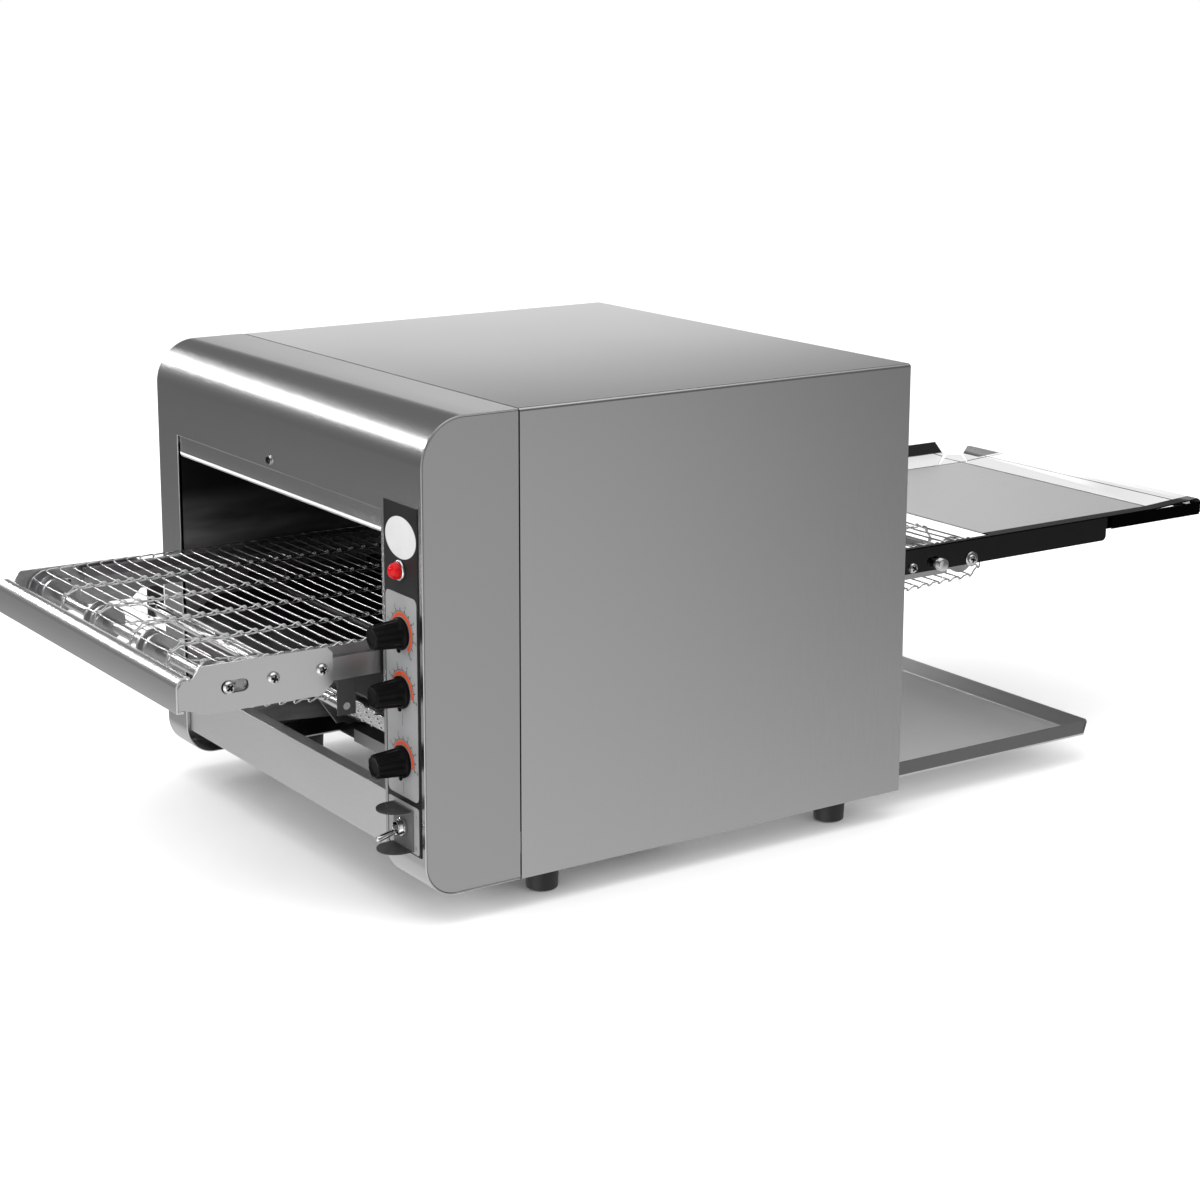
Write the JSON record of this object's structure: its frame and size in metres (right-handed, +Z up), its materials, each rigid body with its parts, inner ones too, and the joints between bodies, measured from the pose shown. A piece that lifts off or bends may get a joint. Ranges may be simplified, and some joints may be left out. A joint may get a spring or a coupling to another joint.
{
  "type": "conveyor oven",
  "caption": "Countertop conveyor oven: wire belt through a brushed steel tunnel, infeed and outfeed shelves, dials and switch on the front post.",
  "frame": {"origin": "on the floor under the middle of the oven's whole length and width", "axes": "+Z up, +Y from the infeed towards the outfeed, +X towards the control post"},
  "size_m": [0.474, 1.09, 0.405],
  "materials": {
    "casing_steel": "brushed, satin",
    "panel_steel": "satin",
    "bright_steel": "bright, fine brushed",
    "tray_steel": "satin",
    "mirror_steel": "mirror polished",
    "rail_steel": "satin",
    "shaft_steel": "turned",
    "belt_wire": "drawn wire",
    "screw_steel": "polished",
    "strip_steel": "worn satin",
    "foot_rubber": "matt",
    "insulation": "fibrous",
    "heater_sheath": "heat darkened",
    "motor_paint": "satin paint",
    "label_film": "printed film",
    "chrome": "polished",
    "red_lens": "clear red, faceted",
    "black_plastic": "satin",
    "control_bodies": "moulded",
    "guard_black": "satin"
  },
  "bodies": {
    "root": {"hood_skin": "casing_steel", "hood_cheek_left": "casing_steel", "hood_cheek_right": "casing_steel", "wrap_cover": "casing_steel", "rear_panel": "panel_steel", "lower_cross_bar": "bright_steel", "base_rail_left": "panel_steel", "base_rail_right": "panel_steel", "foot_front_left": "foot_rubber", "foot_front_right": "foot_rubber", "foot_rear_left": "foot_rubber", "foot_rear_right": "foot_rubber", "chamber_wall_left": "panel_steel", "chamber_wall_right": "panel_steel", "upper_reflector": "bright_steel", "lower_reflector": "bright_steel", "insulation_blanket": "insulation", "upper_heaters": "heater_sheath", "lower_heaters": "heater_sheath", "rail_left": "rail_steel", "rail_right": "rail_steel", "wear_strips": "strip_steel", "infeed_plate_left": "bright_steel", "infeed_plate_right": "bright_steel", "infeed_fascia": "bright_steel", "nose_shaft": "shaft_steel", "tail_shaft": "shaft_steel", "outfeed_plate_left": "mirror_steel", "outfeed_plate_right": "mirror_steel", "outfeed_shelf": "bright_steel", "drive_bracket_left": "panel_steel", "drive_bracket_right": "panel_steel", "drive_guard": "panel_steel", "gear_motor": "motor_paint", "wire_belt": "belt_wire", "control_label": "label_film", "pilot_lamp_bezel": "chrome", "pilot_lamp_lens": "red_lens", "dial_controllers": "control_bodies", "toggle_body": "chrome", "toggle_guard": "guard_black", "fan_frame": "black_plastic", "terminal_block": "control_bodies", "cord_gland": "black_plastic", "conveyor_screws": "screw_steel", "flap_screws": "screw_steel"},
    "drive": {"drive_shaft": "shaft_steel", "drive_sprockets": "rail_steel"},
    "front_flap": {"front_flap": "casing_steel"},
    "rear_flap": {"rear_flap": "casing_steel"},
    "landing_tray": {"landing_tray": "tray_steel"},
    "nose_idler": {"nose_rollers": "rail_steel"},
    "tail_idler": {"tail_rollers": "rail_steel"},
    "front_return_roller": {"front_return_roller": "shaft_steel"},
    "rear_return_roller": {"rear_return_roller": "shaft_steel"},
    "knob_speed": {"knob_speed": "black_plastic"},
    "knob_top_heat": {"knob_top_heat": "black_plastic"},
    "knob_bottom_heat": {"knob_bottom_heat": "black_plastic"},
    "toggle_lever": {"toggle_lever": "chrome"},
    "fan_rotor": {"fan_rotor": "black_plastic"}
  },
  "joints": [
    {"name": "front_flap_slide", "type": "slide", "parent": "root", "child": "front_flap", "axis": [0, 0, 1], "range_m": [-0.035, 0]},
    {"name": "rear_flap_slide", "type": "slide", "parent": "root", "child": "rear_flap", "axis": [0, 0, 1], "range_m": [-0.035, 0]},
    {"name": "tray_slide", "type": "slide", "parent": "root", "child": "landing_tray", "axis": [0, 1, 0], "range_m": [-0.03, 0.2]},
    {"name": "drive_spin", "type": "hinge", "parent": "root", "child": "drive", "pos_m": [0, -0.192, 0.048], "axis": [-1, 0, 0], "continuous": true},
    {"name": "nose_spin", "type": "hinge", "parent": "root", "child": "nose_idler", "pos_m": [0, -0.502, 0.2035], "axis": [-1, 0, 0], "continuous": true},
    {"name": "tail_spin", "type": "hinge", "parent": "root", "child": "tail_idler", "pos_m": [0, 0.248, 0.2035], "axis": [-1, 0, 0], "continuous": true},
    {"name": "front_return_spin", "type": "hinge", "parent": "root", "child": "front_return_roller", "pos_m": [0, -0.4005, 0.17117], "axis": [-1, 0, 0], "continuous": true},
    {"name": "rear_return_spin", "type": "hinge", "parent": "root", "child": "rear_return_roller", "pos_m": [0, 0.10977, 0.17406], "axis": [-1, 0, 0], "continuous": true},
    {"name": "knob_speed_turn", "type": "hinge", "parent": "root", "child": "knob_speed", "pos_m": [0.2055, -0.37, 0.2335], "axis": [0, 1, 0], "range_deg": [0, 300]},
    {"name": "knob_top_heat_turn", "type": "hinge", "parent": "root", "child": "knob_top_heat", "pos_m": [0.2055, -0.37, 0.1865], "axis": [0, 1, 0], "range_deg": [0, 300]},
    {"name": "knob_bottom_heat_turn", "type": "hinge", "parent": "root", "child": "knob_bottom_heat", "pos_m": [0.2055, -0.37, 0.1305], "axis": [0, 1, 0], "range_deg": [0, 300]},
    {"name": "toggle_flip", "type": "hinge", "parent": "root", "child": "toggle_lever", "pos_m": [0.2055, -0.369, 0.0775], "axis": [-1, 0, 0], "range_deg": [0, 28]},
    {"name": "fan_spin", "type": "hinge", "parent": "root", "child": "fan_rotor", "pos_m": [0.2078, 0.101, 0.225], "axis": [0, 1, 0], "continuous": true}
  ],
  "couplings": [
    {"joint": "nose_spin", "follows": "drive_spin", "ratio": 0.8571},
    {"joint": "tail_spin", "follows": "drive_spin", "ratio": 0.8571},
    {"joint": "front_return_spin", "follows": "drive_spin", "ratio": -2.1429},
    {"joint": "rear_return_spin", "follows": "drive_spin", "ratio": -2.1429}
  ]
}
